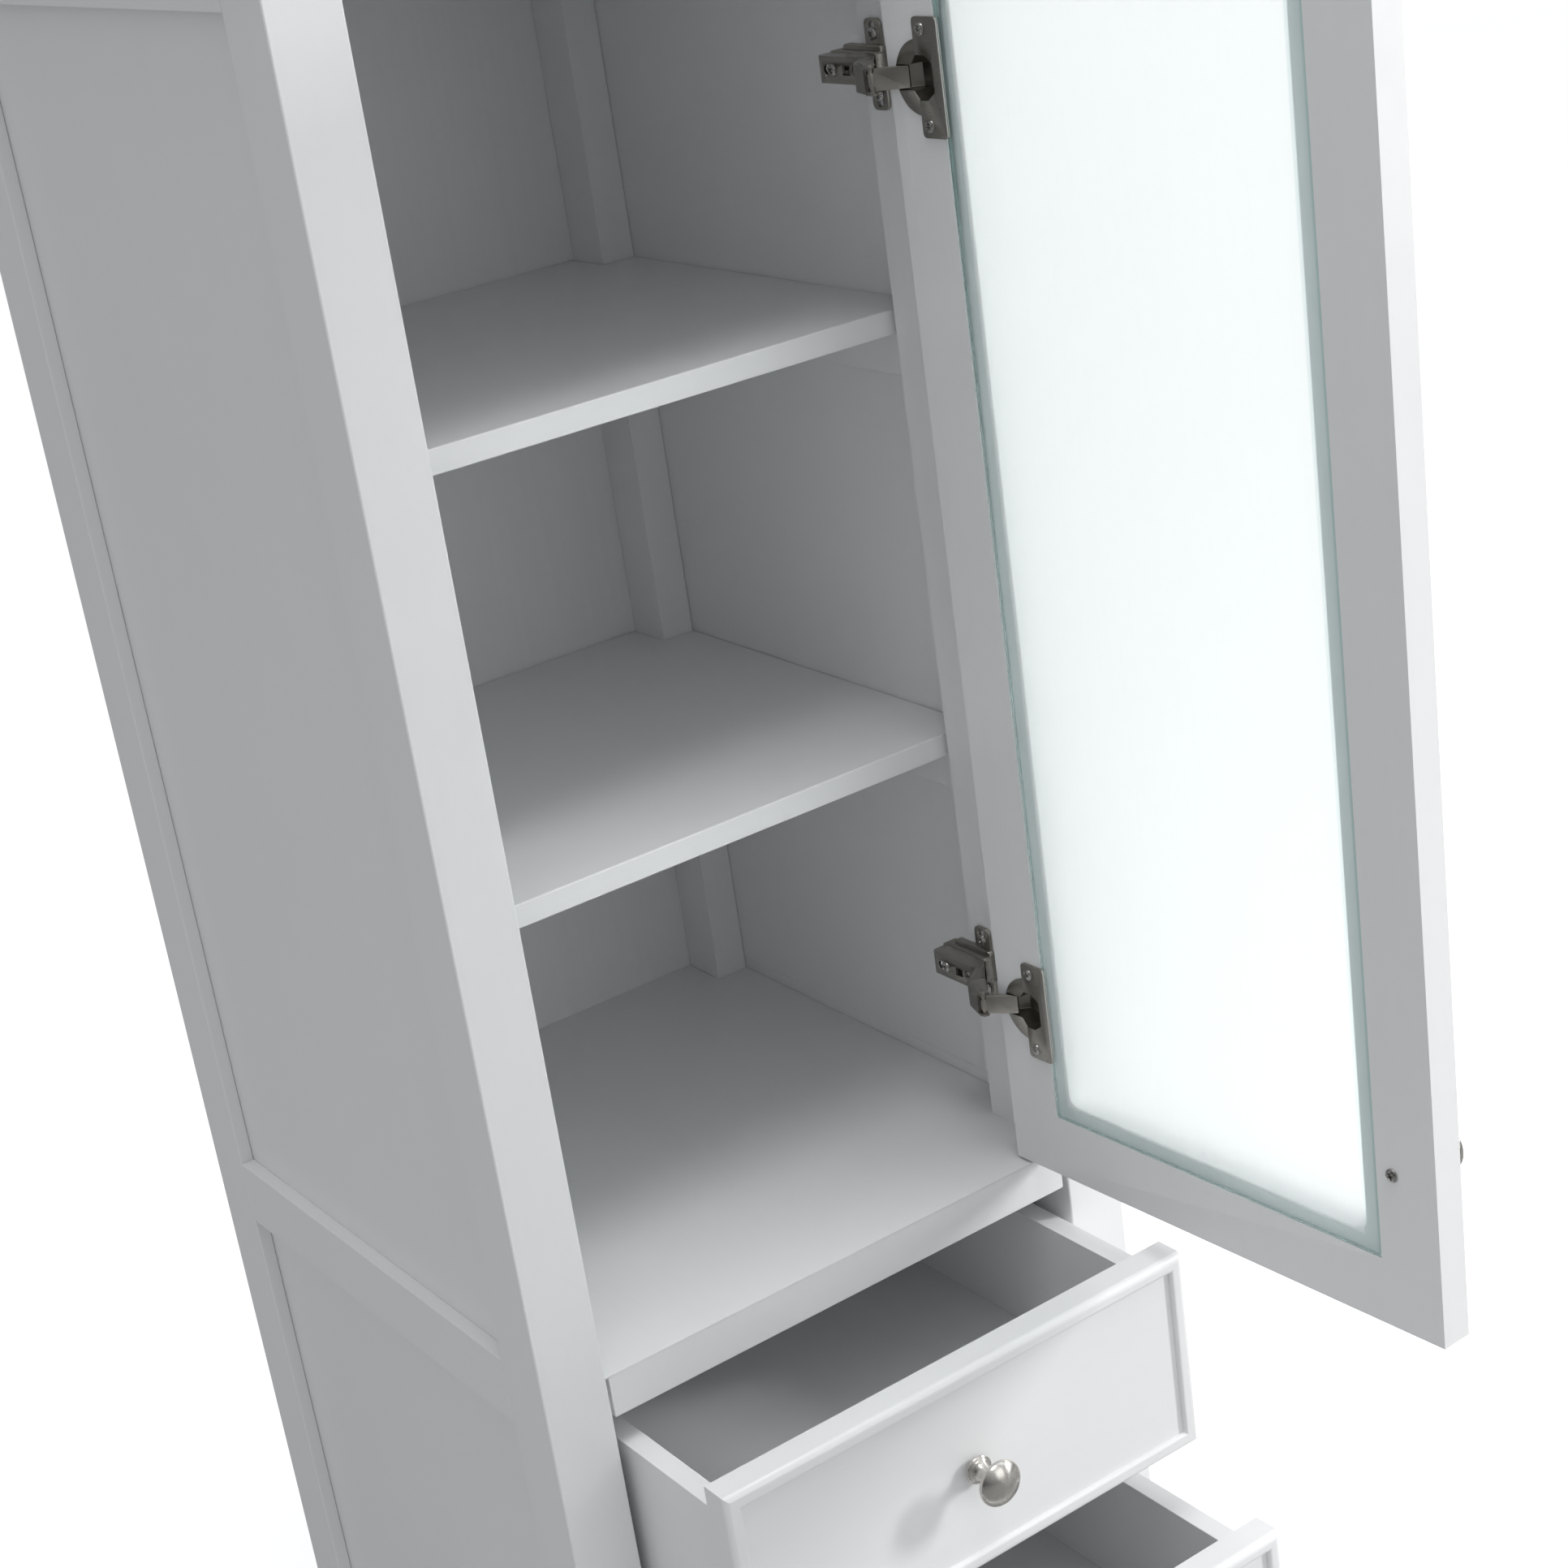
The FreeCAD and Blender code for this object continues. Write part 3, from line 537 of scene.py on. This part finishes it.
def on_door(across=0.0, up=0.0, out=0.0):
    """A placing on the door's inner face, with x away from the hinged edge and y up."""
    at = Vector((DOOR_EDGE_X - across, DOOR_BACK_Y + out, up)) * MM
    return OPEN @ facing(at, -X, Y)


def middle(node):
    """The middle of a node's box, in millimetres."""
    lo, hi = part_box(node)
    return (lo + hi) / 2 / MM


# ---- hinges: the cup is drawn on the door, x from its hinged edge and height out of its face -----
HINGES = ("lower", "upper")
CUP_X, DISC_X, DISC_R = 23.3, 26.5, 19.5
CUP_BODY = [(0, -11.9), (15.3, -11.9), (15.9, -11.3), (15.9, 0.6), (0, 0.6)]
MOUTH = [(8.2, -6.6, 0.6), (20.0, -6.6, 1.0), (24.0, -11.4, 1.0), (31.0, -11.4, 1.5),
         (36.6, -7.4, 1.5), (36.6, 7.4, 1.5), (31.0, 11.4, 1.5), (24.0, 11.4, 1.0),
         (20.0, 6.6, 1.0), (8.2, 6.6, 0.6)]
# The cup's inside: (height, share of its length at the mouth, kept from the far side).
CUP_LEVELS = [(4.0, 1.0), (0.9, 1.0), (-3.0, 0.96), (-10.5, 0.76)]
CUP_SCREW_X, CUP_SCREW_UP = 29.9, 24.3
LEAF_START, LEAF_END, LEAF_HALF, LEAF_ROUND, LEAF_T = 24, 43.0, 30.5, 2.6, 1.8
# How far in from the flange's rolled edge its painted highlight reaches, in mm.
HIGHLIGHT_BAND = 0.7


def stack(bm, levels):
    """A closed shape through (height, outline) levels, all with the same number of points."""
    rims = [raised(bm, points, height) for height, points in levels]
    for a, b in zip(rims, rims[1:]):
        walls(bm, a, b)
    cover(bm, [rims[0]])
    cover(bm, [rims[-1]])


def leaf(bm):
    """The flange's two stacked leaves: a rounded plate with a groove round its edge."""
    levels = [(0.0, 0.15), (0.15, 0.0), (0.7, 0.0), (0.82, 0.3), (0.98, 0.3), (1.1, 0.0),
              (1.6, 0.0), (1.75, 0.08), (LEAF_T, 0.3)]
    stack(bm, [(h, rectangle(LEAF_START + d, LEAF_END - d, -LEAF_HALF + d, LEAF_HALF - d,
                             LEAF_ROUND - d)) for h, d in levels])


def collar(bm):
    """The round part of the flange, on the hinged side of the leaf."""
    levels = [(0.0, 0.0), (1.05, 0.0), (1.25, 0.1), (1.35, 0.35)]
    stack(bm, [(h, ring(DISC_X, 0, DISC_R - d, 41, 80, 280)) for h, d in levels])


def funnel(bm):
    """The space inside the cup, whose hinged side slopes in towards the cup's floor."""
    outline = loop(MOUTH, 2)
    far = max(p.x for p in outline)
    stack(bm, [(h, [Vector((far + (p.x - far) * k, p.y)) for p in outline])
               for h, k in CUP_LEVELS])


LINK_LEN, LINK_HALF, LINK_T, BARREL_HALF = 20.6, 5.6, 2.8, 3.4
# Half outlines of the link's barrel and of its pin, as (radius, height) from the middle outwards.
BARREL = [(1.9, BARREL_HALF - 0.2), (1.7, BARREL_HALF), (0, BARREL_HALF)]
PIN = [(1.24, 7.5), (1.5, 7.6), (1.5, 7.85), (1.2, 8.0), (0, 8.0)]
LINK_ALONG = Vector((12.8, -15.7, 0)).normalized()


def link_web(bm):
    """The link's plate, notched at both corners beside its barrel."""
    outline = loop([(0.4, -BARREL_HALF, 0.3), (1.9, -BARREL_HALF, 0.6), (2.4, -LINK_HALF, 0.6),
                    (LINK_LEN, -LINK_HALF, 0.5), (LINK_LEN, LINK_HALF, 0.5),
                    (2.4, LINK_HALF, 0.6), (1.9, BARREL_HALF, 0.6), (0.4, BARREL_HALF, 0.3)], 3)
    slab(bm, outline, -LINK_T / 2, LINK_T / 2)


UPRIGHT = Matrix.Rotation(math.radians(-90), 4, "X")


def spindle(half, count):
    """An upright round bar whose two ends mirror each other."""
    profile = [(r, -h) for r, h in reversed(half)] + half
    return posed(UPRIGHT, lambda bm: lathe(bm, profile, (0, 0), count))


# The arm, its hollow and its ears seen from above, in the cabinet's x and y, with corner radii.
ARM_HALF, ARM_WALL, EAR_HALF, EAR_LAP = 7.2, 1.5, 7.7, 0.4
ARM = [(146.5, -123.0, 3.0), (146.5, -162.5, 5.0), (131.5, -175.0, 10.0), (126.7, -190.5, 5.0),
       (126.7, -194.0, 0.8), (128.2, -195.4, 0.6), (130.4, -195.0, 0.8), (131.8, -192.0, 1.0),
       (157.5, -160.0, 6.0), (157.5, -123.0, 2.0)]
HOLLOW = [(148.0, -122.0, 0), (148.0, -163.3, 4.0), (133.0, -175.8, 9.0), (128.4, -190.0, 0),
          (124.0, -190.0, 0), (124.0, -198.0, 0), (133.2, -198.0, 0), (133.2, -192.5, 0),
          (160.0, -158.0, 0), (160.0, -122.0, 0)]
EAR = [(126.9, -190.6, 1.4), (127.4, -194.8, 1.6), (131.2, -195.0, 1.6), (134.2, -189.6, 2.0),
       (141.0, -181.2, 1.8), (139.8, -176.6, 1.8), (134.0, -175.6, 3.0)]
STRIP_X, WING_HALF, WING_T, WING_SLOT_UP, BLOCK_T = 166.0, 24, 2.0, 17.6, 8.5
PLATE_SCREW_X, PLATE_SCREW_UP = 151.5, 16.0
# On the strip: place, height, head radius, rise and turn of the rear and of the front screw.
ARM_SCREWS = ((136.0, 19.5, 3.4, 1.6, 40.0), (157.0, 18.4, 3.1, 1.5, 15.0))
SHORT_SCREW, LONG_SCREW = 11.0, 14.0


def arm_cuts():
    """The channel's hollow, and three openings through its web: two slots and a round hole."""
    side = Matrix.Translation((143.0, 0, 0)) @ Matrix.Rotation(math.radians(90), 4, "Y")
    outlines = (rectangle(-2.6, 2.6, -151.5, -145.0, 0.5, 3),
                ring(0, -157.0, 3.4, 24),
                slot_hole(0, -134.0, 2.7, 2.6))
    openings = [lambda bm, outline=outline: slab(bm, outline, 0, 6) for outline in outlines]
    return [lambda bm: slab(bm, loop(HOLLOW, 4), -ARM_HALF + ARM_WALL, ARM_HALF - ARM_WALL),
            posed(side, several(*openings))]


def on_strip(up=0.0):
    """A placing on the strip the hinges are screwed to: x towards the front, y up, z inwards."""
    return facing(Vector((STRIP_X, 0, up)) * MM, -Y, -X)


def wing(bm):
    """The mounting plate's wings, above and below its block, each with a slot for its screw."""
    slab(bm, rectangle(145.0, 158.5, -WING_HALF, WING_HALF, 3.5), 0.0, WING_T,
         [slot_hole(PLATE_SCREW_X, s * WING_SLOT_UP, 2.5, 2.4) for s in SIGNS])


def hinge_cup(which, up):
    """The cup with its flange, whose rolled outer edge is painted brighter as a highlight."""
    cup = piece("hinge_cup_" + which + "_detail",
                [leaf, collar, lambda bm: lathe(bm, CUP_BODY, (CUP_X, 0), 48)],
                on_door(up=up), "door", HINGE_METAL, ["hinge_cup_" + which],
                [funnel], edge=0.12)
    # The outer band on the flange's rolled edge takes the brighter colour: a painted highlight.
    cup.data.materials.append(FLANGE_HIGHLIGHT_METAL)
    for face in cup.data.polygons:
        if face.center.x > (LEAF_END - HIGHLIGHT_BAND) * MM and face.normal.x > 0.5:
            face.material_index = 1


def hinge(which):
    up = middle("hinge_cup_" + which).z
    at = Vector((0, 0, up)) * MM
    hinge_cup(which, up)
    start = Vector(JOINTS["hinge_links_turn"]["pos_m"]).xy
    piece("hinge_link_" + which + "_detail",
          [link_web, spindle(BARREL, 24), spindle(PIN, 20)],
          facing((start.x, start.y, up * MM), LINK_ALONG,
                 Vector((LINK_ALONG.y, -LINK_ALONG.x, 0))),
          "hinge_links", LINK_METAL, ["hinge_link_" + which], edge=0.35)
    piece("hinge_arm_" + which + "_detail",
          [lambda bm: slab(bm, loop(ARM, 5), -ARM_HALF, ARM_HALF),
           lambda bm: slab(bm, loop(EAR, 4), ARM_HALF - EAR_LAP, EAR_HALF),
           lambda bm: slab(bm, loop(EAR, 4), -EAR_HALF, -ARM_HALF + EAR_LAP)],
          Matrix.Translation(at), "cabinet", HINGE_METAL,
          ["hinge_arm_" + which], arm_cuts(), edge=0.3)
    piece("hinge_plate_" + which + "_detail",
          [wing,
           lambda bm: slab(bm, rectangle(127, 160, -10.6, 10.6, 2.5), 0.2, 4.2),
           lambda bm: slab(bm, rectangle(120.5, 160.5, -7.8, 7.8, 2.0), 0.0, BLOCK_T)],
          on_strip(up), "cabinet", HINGE_METAL, ["hinge_plate_" + which],
          edge=0.4)


def screws(node, place, body, length, places):
    """A group of cross-recess screws, each (x, y, height, head radius, rise, shank, turn)."""
    fills = [shifted(x, y, h, lambda bm, r=r, rise=rise, s=s, turn=turn:
                     screw(bm, (0, 0), r, rise, s, length, turn))
             for x, y, h, r, rise, s, turn in places]
    piece(node + "_detail", [several(*fills)], place, body, SCREW_METAL, [node],
          smooth=28.0)


for which in HINGES:
    hinge(which)

# The screws are turned unevenly, as a hand leaves them.
HINGE_UP = [middle("hinge_cup_" + which).z for which in HINGES]
screws("hinge_cup_screws", on_door(), "door", SHORT_SCREW,
       [(CUP_SCREW_X, up + s * CUP_SCREW_UP, LEAF_T, 3.4, 1.1, 1.6, 20 + 37 * s + up % 40)
        for up in HINGE_UP for s in SIGNS])
screws("hinge_plate_screws", on_strip(), "cabinet", SHORT_SCREW,
       [(PLATE_SCREW_X, up + s * PLATE_SCREW_UP, WING_T, 3.5, 1.3, 1.8, 31 * s + up % 30)
        for up in HINGE_UP for s in SIGNS])
screws("hinge_arm_screws", on_strip(), "cabinet", LONG_SCREW,
       [(x, up, h, r, rise, 2.0, turn) for up in HINGE_UP for x, h, r, rise, turn in ARM_SCREWS])


# ---- knobs and their screws: half outlines as (radius, height) from foot to crown ----------------
FOOT = [(0, 0), (8.4, 0), (8.7, 0.3), (8.7, 1.1), (8.3, 1.6), (7.6, 1.75), (7.2, 2.0),
        (7.2, 2.5), (6.9, 2.9), (6.2, 3.0)]
NECK = [(5.8, 3.4), (5.0, 4.8), (4.55, 6.8), (4.45, 9.0), (4.7, 11.0), (5.5, 12.6), (7.2, 13.8),
        (9.6, 14.8), (12.0, 16.0), (13.4, 17.3), (13.95, 18.6), (13.9, 19.8), (13.4, 20.8)]
CROWN = [(12.7, 21.6), (11.6, 22.5), (10.0, 23.5), (7.9, 24.45), (5.4, 25.2), (2.8, 25.65)]


def eased(points, between=3):
    """A smooth line through points, with more points between them."""
    out = []
    for i in range(len(points) - 1):
        a, b, c, d = (Vector(points[min(max(k, 0), len(points) - 1)])
                      for k in (i - 1, i, i + 1, i + 2))
        for step in range(between):
            t = step / between
            out.append((b * 2 + (c - a) * t + (a * 2 - b * 5 + c * 4 - d) * t * t
                        + (b * 3 - a - c * 3 + d) * t ** 3) / 2)
    return [tuple(p) for p in out] + [points[-1]]


def knob(bm):
    """A stepped foot, and a mushroom of one smooth line from its neck to its crown."""
    lathe(bm, FOOT + eased(NECK + CROWN) + [(0, 25.8)], (0, 0), 64)


def knob_screw(bm):
    """The machine screw's cross-recess head, against the inner face."""
    screw(bm, (0, 0), 3.9, 1.8, 1.9, 16.0, 25.0)


def fittings(owner, place_knob, place_screw):
    """The knob and knob screw of the door or a drawer, which is also the body they ride on."""
    piece(owner + "_knob_detail", [knob], place_knob, owner, KNOB_METAL,
          [owner + "_knob"], smooth=50.0)
    piece(owner + "_knob_screw_detail", [knob_screw], place_screw, owner,
          SCREW_METAL, [owner + "_knob_screw"], smooth=28.0)


DOOR_KNOB_IN = 297.0
door_knob_up = middle("door_knob").z
fittings("door",
         OPEN @ facing(Vector((DOOR_EDGE_X - DOOR_KNOB_IN, DOOR_FRONT_Y, door_knob_up)) * MM,
                       X, -Y),
         on_door(DOOR_KNOB_IN, door_knob_up))
for drawer in ("drawer_1", "drawer_2"):
    lo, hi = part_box(drawer + "_knob")
    at = middle(drawer + "_knob")
    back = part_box(drawer + "_front")[1].y
    fittings(drawer, facing((at.x * MM, hi.y, at.z * MM), X, -Y),
             facing((at.x * MM, back, at.z * MM), -X, Y))


# ---- the frosted pane ---------------------------------------------------------------------------
PANE_IN, PANE_T, LIP = 40.0, 4.0, 10.6
MILK = [(0.3, (0.955, 0.99, 0.985)), (0.7, (0.975, 1.0, 0.998))]
# Over the lip: the glass's own green, darkened to grey with painted shade.
LIP_GREEN_AND_SHADE = [(0.3, (0.66, 0.76, 0.75)), (0.7, (0.70, 0.79, 0.78))]
# A darker line along the pane's outer edge, against the rebate: painted shade.
PANE_EDGE_SHADE = (0.42, 0.60, 0.57)


def frosted(width, height):
    """Etched glass: milky where light comes through, green and darkened with painted shade where it
    lies on the lip, with a thin line of painted shade along its outer edge.
    """
    t = new_material("frosted_pane")
    axes = t.node("ShaderNodeSeparateXYZ")
    t.link(t.coords, axes.inputs[0])
    edge = [t.math("SUBTRACT", t.math("ABSOLUTE", axes.outputs[i]), (size / 2 - LIP) * MM)
            for i, size in ((0, width), (1, height))]
    past = t.math("MAXIMUM", *edge)
    on_lip = t.span(past, 0.0, 1.0, (-0.0006, 0.0006))
    # Mask of the thin painted shade line along the pane's outer edge.
    rim = t.span(past, 0.0, 1.0, ((LIP - 1.6) * MM, (LIP - 0.9) * MM))
    streak = t.noise(260.0, 4.0, 0.6, (1.0, 0.03, 1.0))
    # Milky inside the lip; over the lip green with painted shade, and a painted shade line at the
    # outer edge.
    colour = t.mix(on_lip, t.ramp(streak, MILK), t.ramp(streak, LIP_GREEN_AND_SHADE))
    t.feed("Base Color", t.mix(rim, colour, PANE_EDGE_SHADE))
    t.feed("Roughness", t.span(on_lip, 0.55, 0.22, (0, 1)))
    t.bump(streak, 0.08, 0.0003)
    t.set(Transmission_Weight=1.0, IOR=1.45)
    return t.owner


pane_lo, pane_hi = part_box("door_glass")
pane_h = (pane_hi.z - pane_lo.z) / MM
pane_w = DOOR_W - 2 * PANE_IN


def pane(bm):
    """The pane's plate, its edges ground off."""
    levels = [(-PANE_T, 0.4), (-PANE_T + 0.4, 0.0), (-0.5, 0.0), (-0.05, 0.5)]
    stack(bm, [(h, rectangle(d - pane_w / 2, pane_w / 2 - d, d - pane_h / 2, pane_h / 2 - d,
                             2.0 - d)) for h, d in levels])


piece("door_glass_pane", [pane], on_door(DOOR_W / 2, middle("door_glass").z), "door",
      frosted(pane_w, pane_h), ["door_glass"], smooth=20.0)


# ---- the painted boards and the slides keep their shapes, with their edges softened -------------
DEEP = ("side_rails", "deck", "shelf_cleats", "runner_battens", "side_left", "side_right")
UP = ("post", "door_frame", "side_panel", "hinge_strip")
EDGES = {"post": 1.1, "door_frame": 1.0, "deck": 1.0, "shelf": 0.9, "top_board": 2.0,
         "drawer_1_front": 0.9, "drawer_2_front": 0.9, "side_panel": 0.3, "back_panel": 0.3,
         "side_rails": 0.5}
BOARD_EDGE, SLIDE_EDGE = 0.6, 0.3


def finish_of(name):
    """The material of a board or slide, with its grain along the board."""
    if "slide_" in name:
        return ZINC
    if name == "back_panel":
        return PAINT_PANEL
    if name.startswith(UP):
        return PAINT_UP
    return PAINT_DEEP if any(k in name for k in DEEP) else PAINT_WIDE


for name, obj in NODES.items():
    if obj.hide_render:
        continue
    obj.data.materials.clear()
    obj.data.materials.append(finish_of(name))
    weld = obj.modifiers.new("weld", "WELD")
    weld.merge_threshold = 1e-5
    usual = SLIDE_EDGE if "slide_" in name else BOARD_EDGE
    width = next((w for k, w in EDGES.items() if name.startswith(k)), usual)
    soften(obj, width, 3)

lo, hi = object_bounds()
